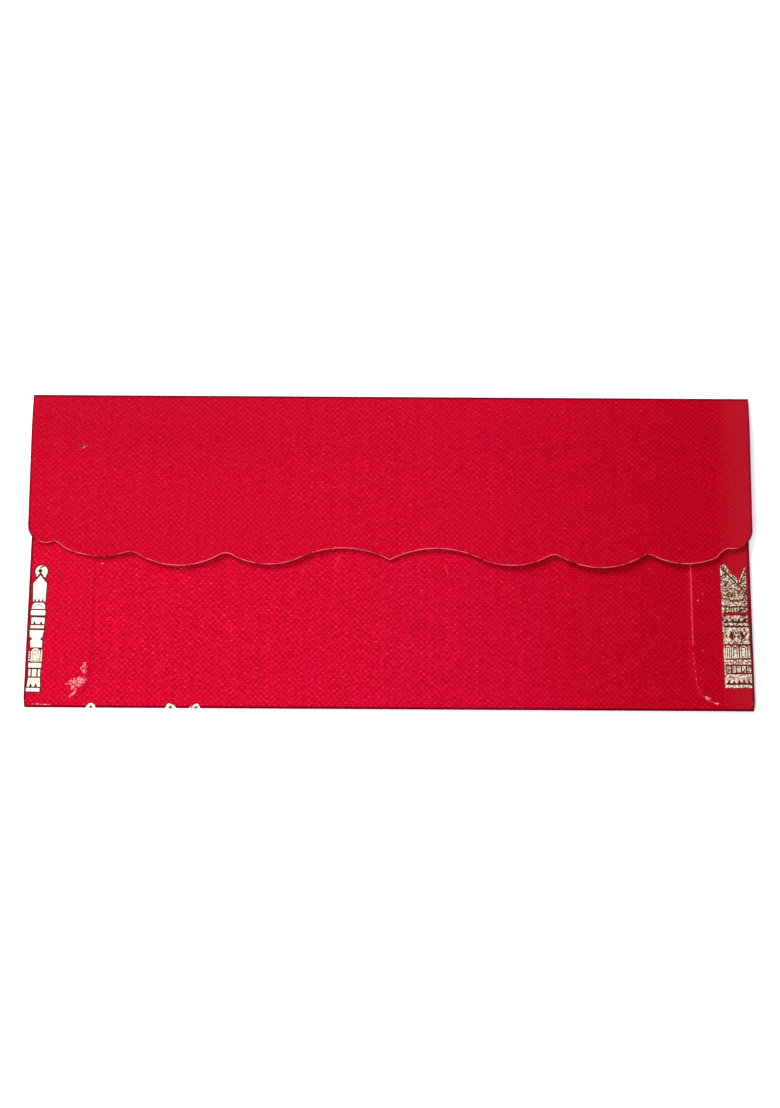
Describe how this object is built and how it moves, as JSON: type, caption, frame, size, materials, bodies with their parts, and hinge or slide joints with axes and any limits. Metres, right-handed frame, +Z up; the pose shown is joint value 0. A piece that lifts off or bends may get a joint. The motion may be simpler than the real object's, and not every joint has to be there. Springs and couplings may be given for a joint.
{
  "type": "gift-money envelope",
  "caption": "Flat landscape gift-money envelope of red embossed paper with a scalloped closing flap, glued side flaps and gold foil borders.",
  "frame": {"origin": "centre of the envelope's outline, on the table under its front panel", "axes": "+X along the long side, +Y from the bottom fold to the flap's crease, +Z up through the flap side"},
  "size_m": [0.1866, 0.082, 0.0025],
  "materials": {
    "red_facing": "satin",
    "pale_board": "matte",
    "dried_glue": "satin",
    "gold_foil": "metallic"
  },
  "bodies": {
    "envelope": {"front_facing": "red_facing", "front_board": "pale_board", "left_fold_facing": "red_facing", "left_fold_board": "pale_board", "right_fold_facing": "red_facing", "right_fold_board": "pale_board", "left_side_flap_facing": "red_facing", "left_side_flap_board": "pale_board", "right_side_flap_facing": "red_facing", "right_side_flap_board": "pale_board", "bottom_fold_facing": "red_facing", "bottom_fold_board": "pale_board", "back_facing": "red_facing", "back_board": "pale_board", "left_glue_seam": "dried_glue", "right_glue_seam": "dried_glue", "left_pillar_foil": "gold_foil", "right_gateway_foil": "gold_foil", "bottom_tips_foil": "gold_foil", "front_frieze_foil": "gold_foil"},
    "closing_flap": {"closing_flap_facing": "red_facing", "closing_flap_board": "pale_board", "crease_facing": "red_facing", "crease_core": "pale_board"}
  },
  "joints": [
    {"name": "flap_fold", "type": "hinge", "parent": "envelope", "child": "closing_flap", "pos_m": [0, 0.0406, 0.0004], "axis": [-1, 0, 0], "range_deg": [0, 170]}
  ]
}
